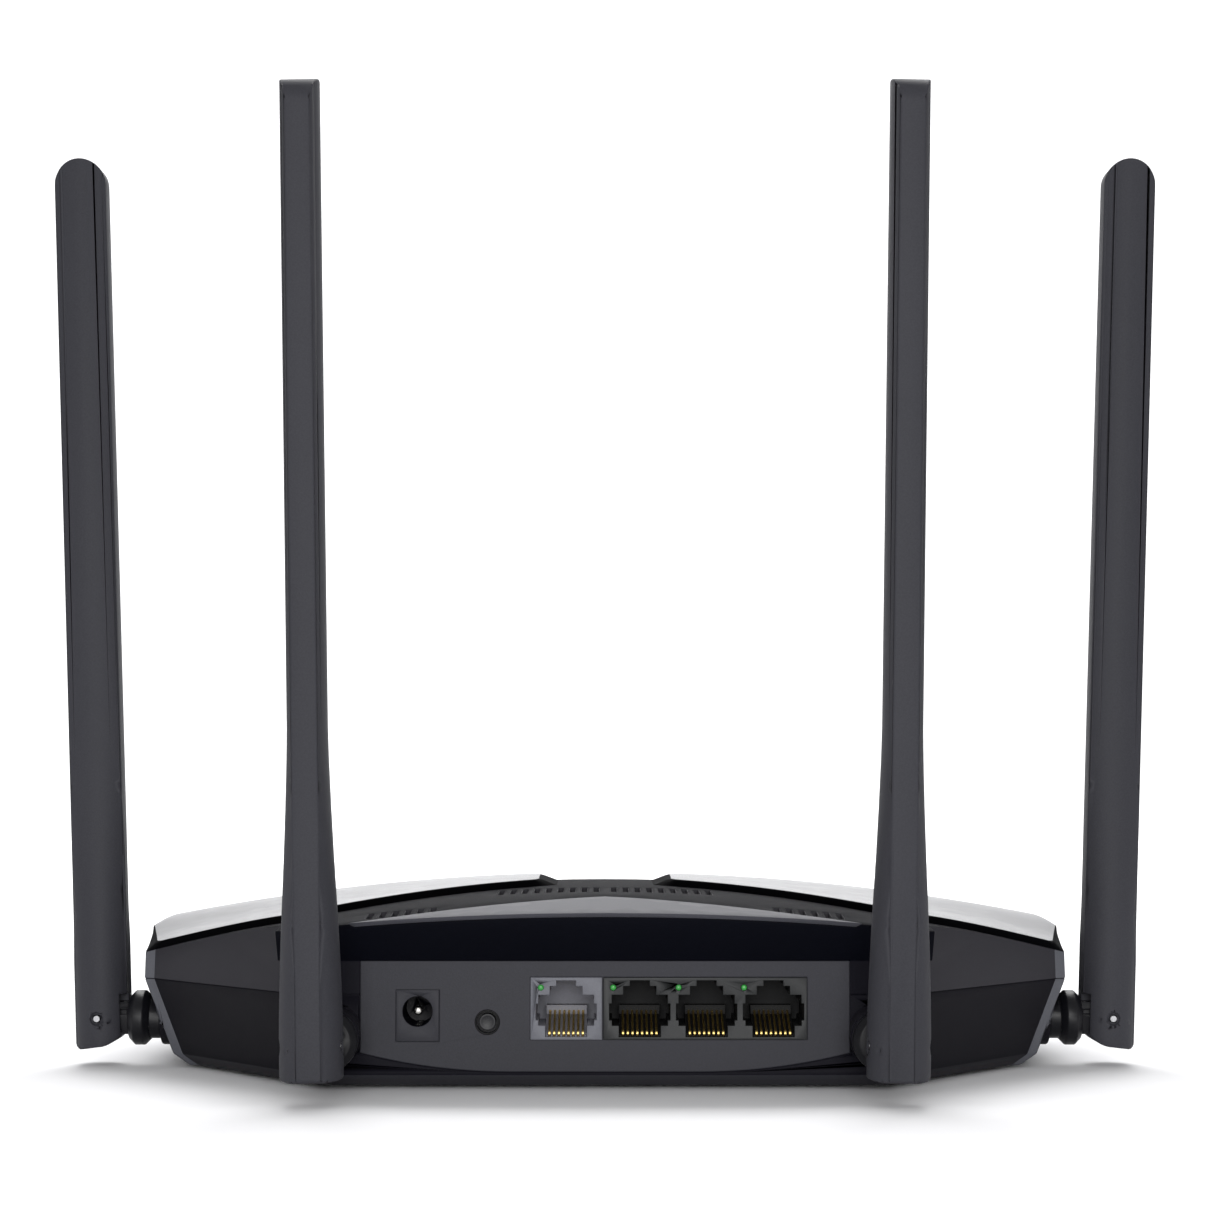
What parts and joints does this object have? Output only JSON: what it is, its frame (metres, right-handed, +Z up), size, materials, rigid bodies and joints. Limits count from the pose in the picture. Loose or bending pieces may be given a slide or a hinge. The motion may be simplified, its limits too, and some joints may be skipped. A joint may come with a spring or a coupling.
{
  "type": "wireless router",
  "caption": "Low faceted table-top wireless router with a crowned vented deck, raised wing panels, a rear port panel and folding, swivelling paddle antennas.",
  "frame": {"origin": "under the middle of the whole object, on the surface it stands on", "axes": "+Z up; the port side faces -Y and the front edge +Y; +X runs across the case, to the right when facing the ports"},
  "size_m": [0.2596, 0.174, 0.2129],
  "materials": {
    "case_matte": "fine moulded texture",
    "wing_gloss": "polished",
    "trim_satin": "satin",
    "panel_matte": "matte",
    "socket_light": "moulded",
    "socket_dark": "moulded",
    "gold_contact": "gold plated",
    "lamp_green": "translucent",
    "inlet_black": "moulded",
    "plated_pin": "nickel plated",
    "button_grey": "satin",
    "circuit_board": "solder mask",
    "shield_tin": "tinned",
    "chip_black": "moulded",
    "heatsink_alu": "anodised",
    "capacitor_sleeve": "sleeved can",
    "ferrite": "sintered",
    "lamp_clear": "clear",
    "window_smoke": "smoked",
    "lead_black": "jacket",
    "foot_rubber": "matt",
    "screw_steel": "zinc plated",
    "plate_blank": "printed film, blank",
    "antenna_matte": "fine moulded texture",
    "hinge_satin": "satin"
  },
  "bodies": {
    "case": {"aerial_leads": "lead_black", "aerial_plugs": "plated_pin", "bottom_shell": "case_matte", "capacitors": "capacitor_sleeve", "case_screws": "screw_steel", "heatsink": "heatsink_alu", "lan_socket_bank": "socket_dark", "lan_socket_bank_contacts": "gold_contact", "left_wing": "wing_gloss", "line_transformers": "chip_black", "main_board": "circuit_board", "port_panel": "panel_matte", "power_choke": "ferrite", "power_inlet": "inlet_black", "power_inlet_pin": "plated_pin", "power_inlet_spring": "plated_pin", "processor": "chip_black", "radio_shields": "shield_tin", "rating_plate": "plate_blank", "rear_trim": "trim_satin", "reset_switch": "inlet_black", "right_wing": "wing_gloss", "rubber_feet": "foot_rubber", "socket_lamps": "lamp_green", "status_leds": "lamp_clear", "status_window": "window_smoke", "top_shell": "case_matte", "wan_socket": "socket_light", "wan_socket_contacts": "gold_contact"},
    "reset": {"reset_button": "button_grey"},
    "left_side_hinge": {"left_side_swivel_stub": "hinge_satin", "left_side_retaining_ring": "screw_steel"},
    "left_side_antenna": {"left_side_antenna_shell": "antenna_matte", "left_side_antenna_strip": "circuit_board", "left_side_fold_pin": "screw_steel"},
    "right_side_hinge": {"right_side_swivel_stub": "hinge_satin", "right_side_retaining_ring": "screw_steel"},
    "right_side_antenna": {"right_side_antenna_shell": "antenna_matte", "right_side_antenna_strip": "circuit_board", "right_side_fold_pin": "screw_steel"},
    "left_rear_hinge": {"left_rear_swivel_stub": "hinge_satin", "left_rear_retaining_ring": "screw_steel"},
    "left_rear_antenna": {"left_rear_antenna_shell": "antenna_matte", "left_rear_antenna_strip": "circuit_board", "left_rear_fold_pin": "screw_steel"},
    "right_rear_hinge": {"right_rear_swivel_stub": "hinge_satin", "right_rear_retaining_ring": "screw_steel"},
    "right_rear_antenna": {"right_rear_antenna_shell": "antenna_matte", "right_rear_antenna_strip": "circuit_board", "right_rear_fold_pin": "screw_steel"}
  },
  "joints": [
    {"name": "reset_press", "type": "slide", "parent": "case", "child": "reset", "axis": [0, 1, 0], "range_m": [0, 0.0009], "stiffness_N_per_m": 250, "springref_m": -0.002},
    {"name": "left_side_swivel", "type": "hinge", "parent": "case", "child": "left_side_hinge", "pos_m": [-0.1168, -0.0149, 0.011], "axis": [1, 0, 0], "range_deg": [-90, 90]},
    {"name": "left_side_fold", "type": "hinge", "parent": "left_side_hinge", "child": "left_side_antenna", "pos_m": [-0.1168, -0.0149, 0.011], "axis": [0, -1, 0], "range_deg": [-2.2, 87.8]},
    {"name": "right_side_swivel", "type": "hinge", "parent": "case", "child": "right_side_hinge", "pos_m": [0.1168, -0.0149, 0.011], "axis": [1, 0, 0], "range_deg": [-90, 90]},
    {"name": "right_side_fold", "type": "hinge", "parent": "right_side_hinge", "child": "right_side_antenna", "pos_m": [0.1168, -0.0149, 0.011], "axis": [0, 1, 0], "range_deg": [-2.2, 87.8]},
    {"name": "left_rear_swivel", "type": "hinge", "parent": "case", "child": "left_rear_hinge", "pos_m": [-0.0578, -0.0815, 0.012], "axis": [0, 1, 0], "range_deg": [-88.9, 31.1]},
    {"name": "left_rear_fold", "type": "hinge", "parent": "left_rear_hinge", "child": "left_rear_antenna", "pos_m": [-0.0578, -0.0815, 0.012], "axis": [0.9998, 0, 0.0192], "range_deg": [0, 90]},
    {"name": "right_rear_swivel", "type": "hinge", "parent": "case", "child": "right_rear_hinge", "pos_m": [0.0578, -0.0815, 0.012], "axis": [0, 1, 0], "range_deg": [-31.1, 88.9]},
    {"name": "right_rear_fold", "type": "hinge", "parent": "right_rear_hinge", "child": "right_rear_antenna", "pos_m": [0.0578, -0.0815, 0.012], "axis": [0.9998, 0, -0.0192], "range_deg": [0, 90]}
  ]
}
